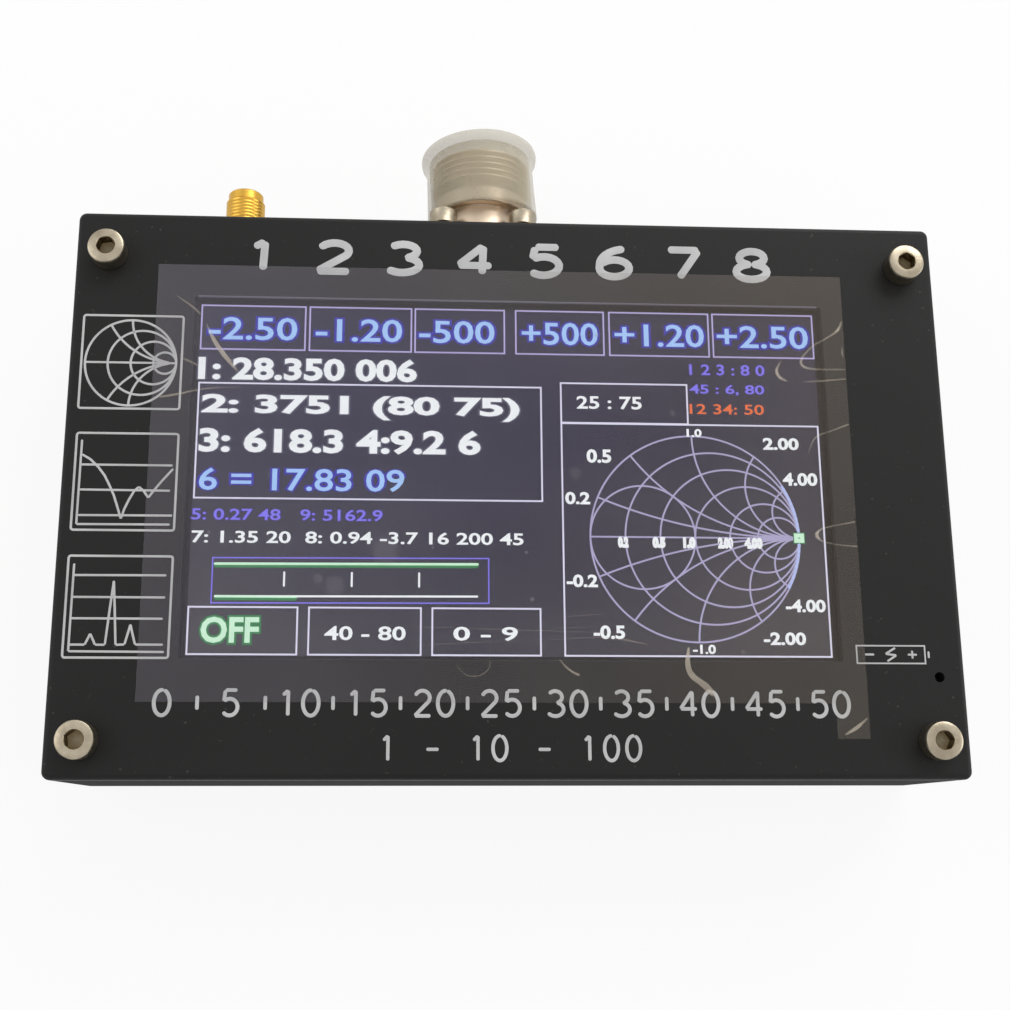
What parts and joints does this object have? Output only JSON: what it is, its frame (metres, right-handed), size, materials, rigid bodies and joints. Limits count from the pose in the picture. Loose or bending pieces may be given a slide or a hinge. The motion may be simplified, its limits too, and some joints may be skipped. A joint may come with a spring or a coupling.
{
  "type": "antenna analyzer",
  "caption": "Hand-held antenna analyzer: black aluminium case with a lit touch screen, a flanged threaded socket under a push-on dust cap, and a small coaxial socket beside it.",
  "frame": {"origin": "centre of the flat back face, on the plane that the instrument rests on", "axes": "+Z out of the screen, +X to the right of the screen, +Y towards the end wall with the two coaxial sockets"},
  "size_m": [0.1359, 0.1046, 0.029],
  "materials": {
    "case_black": "fine black anodised aluminium",
    "screw_nickel": "warm nickel plated steel",
    "socket_nickel": "nickel plated brass",
    "socket_gold": "gold plated brass",
    "contact_gold": "gold plated spring bronze",
    "tin_plate": "thin tinned steel sheet",
    "clear_film": "thin clear film with trapped air",
    "black_foam": "black foam tape",
    "touch_glass": "clear glass",
    "picture": "display glass showing its picture",
    "light_guide": "white moulded light guide",
    "board_green": "green solder mask over glass fibre",
    "ribbon_amber": "amber flexible circuit",
    "chip_black": "black moulded epoxy",
    "card_black": "black moulded plastic",
    "connector_cream": "cream nylon",
    "insulator_white": "white fluoropolymer",
    "cap_plastic": "soft translucent natural plastic",
    "coax_brown": "brown extruded jacket",
    "battery_foil": "laminated aluminium pouch",
    "amber_tape": "double sided tape",
    "lead_red": "red silicone lead",
    "lead_black": "black silicone lead",
    "lamp_clear": "clear epoxy lens",
    "lever_black": "black moulded plastic"
  },
  "bodies": {
    "case": {"front_panel": "case_black", "rear_case": "case_black", "panel_screw_1": "screw_nickel", "panel_screw_2": "screw_nickel", "panel_screw_3": "screw_nickel", "panel_screw_4": "screw_nickel", "protective_film": "clear_film", "window_gasket": "black_foam", "touch_panel": "touch_glass", "lcd_glass": "picture", "backlight": "light_guide", "lcd_frame": "tin_plate", "display_tape": "black_foam", "main_board": "board_green", "board_screw_1": "screw_nickel", "board_screw_2": "screw_nickel", "board_screw_3": "screw_nickel", "board_screw_4": "screw_nickel", "display_ribbon": "ribbon_amber", "display_socket": "connector_cream", "touch_ribbon": "ribbon_amber", "touch_socket": "connector_cream", "processor_chip": "chip_black", "memory_chip": "chip_black", "synthesizer_chip": "chip_black", "crystal": "tin_plate", "radio_shield": "tin_plate", "card_socket": "tin_plate", "data_port": "tin_plate", "large_socket_body": "socket_nickel", "large_socket_insulator": "insulator_white", "large_socket_contact": "contact_gold", "flange_screw_1": "screw_nickel", "flange_screw_2": "screw_nickel", "flange_screw_3": "screw_nickel", "flange_screw_4": "screw_nickel", "small_socket_body": "socket_gold", "small_socket_insulator": "insulator_white", "small_socket_contact": "contact_gold", "small_socket_washer": "socket_gold", "small_socket_nut": "socket_gold", "large_socket_coax": "coax_brown", "small_socket_coax": "coax_brown", "battery_tape": "amber_tape", "battery": "battery_foil", "charge_board": "board_green", "charge_screw_1": "screw_nickel", "charge_screw_2": "screw_nickel", "charger_chip": "chip_black", "board_header": "chip_black", "charge_port": "tin_plate", "battery_socket": "connector_cream", "battery_plug": "connector_cream", "battery_lead_red": "lead_red", "battery_lead_black": "lead_black", "charging_lamp": "lamp_clear", "switch_body": "tin_plate"},
    "cap": {"dust_cap": "cap_plastic"},
    "card": {"memory_card": "card_black"},
    "lever": {"switch_lever": "lever_black"}
  },
  "joints": [
    {"name": "cap_pull", "type": "slide", "parent": "case", "child": "cap", "axis": [0, 1, 0], "range_m": [0, 0.02]},
    {"name": "card_slide", "type": "slide", "parent": "case", "child": "card", "axis": [-1, 0, 0], "range_m": [-0.0008, 0.013]},
    {"name": "switch_slide", "type": "slide", "parent": "case", "child": "lever", "axis": [0, -1, 0], "range_m": [0, 0.002]}
  ]
}
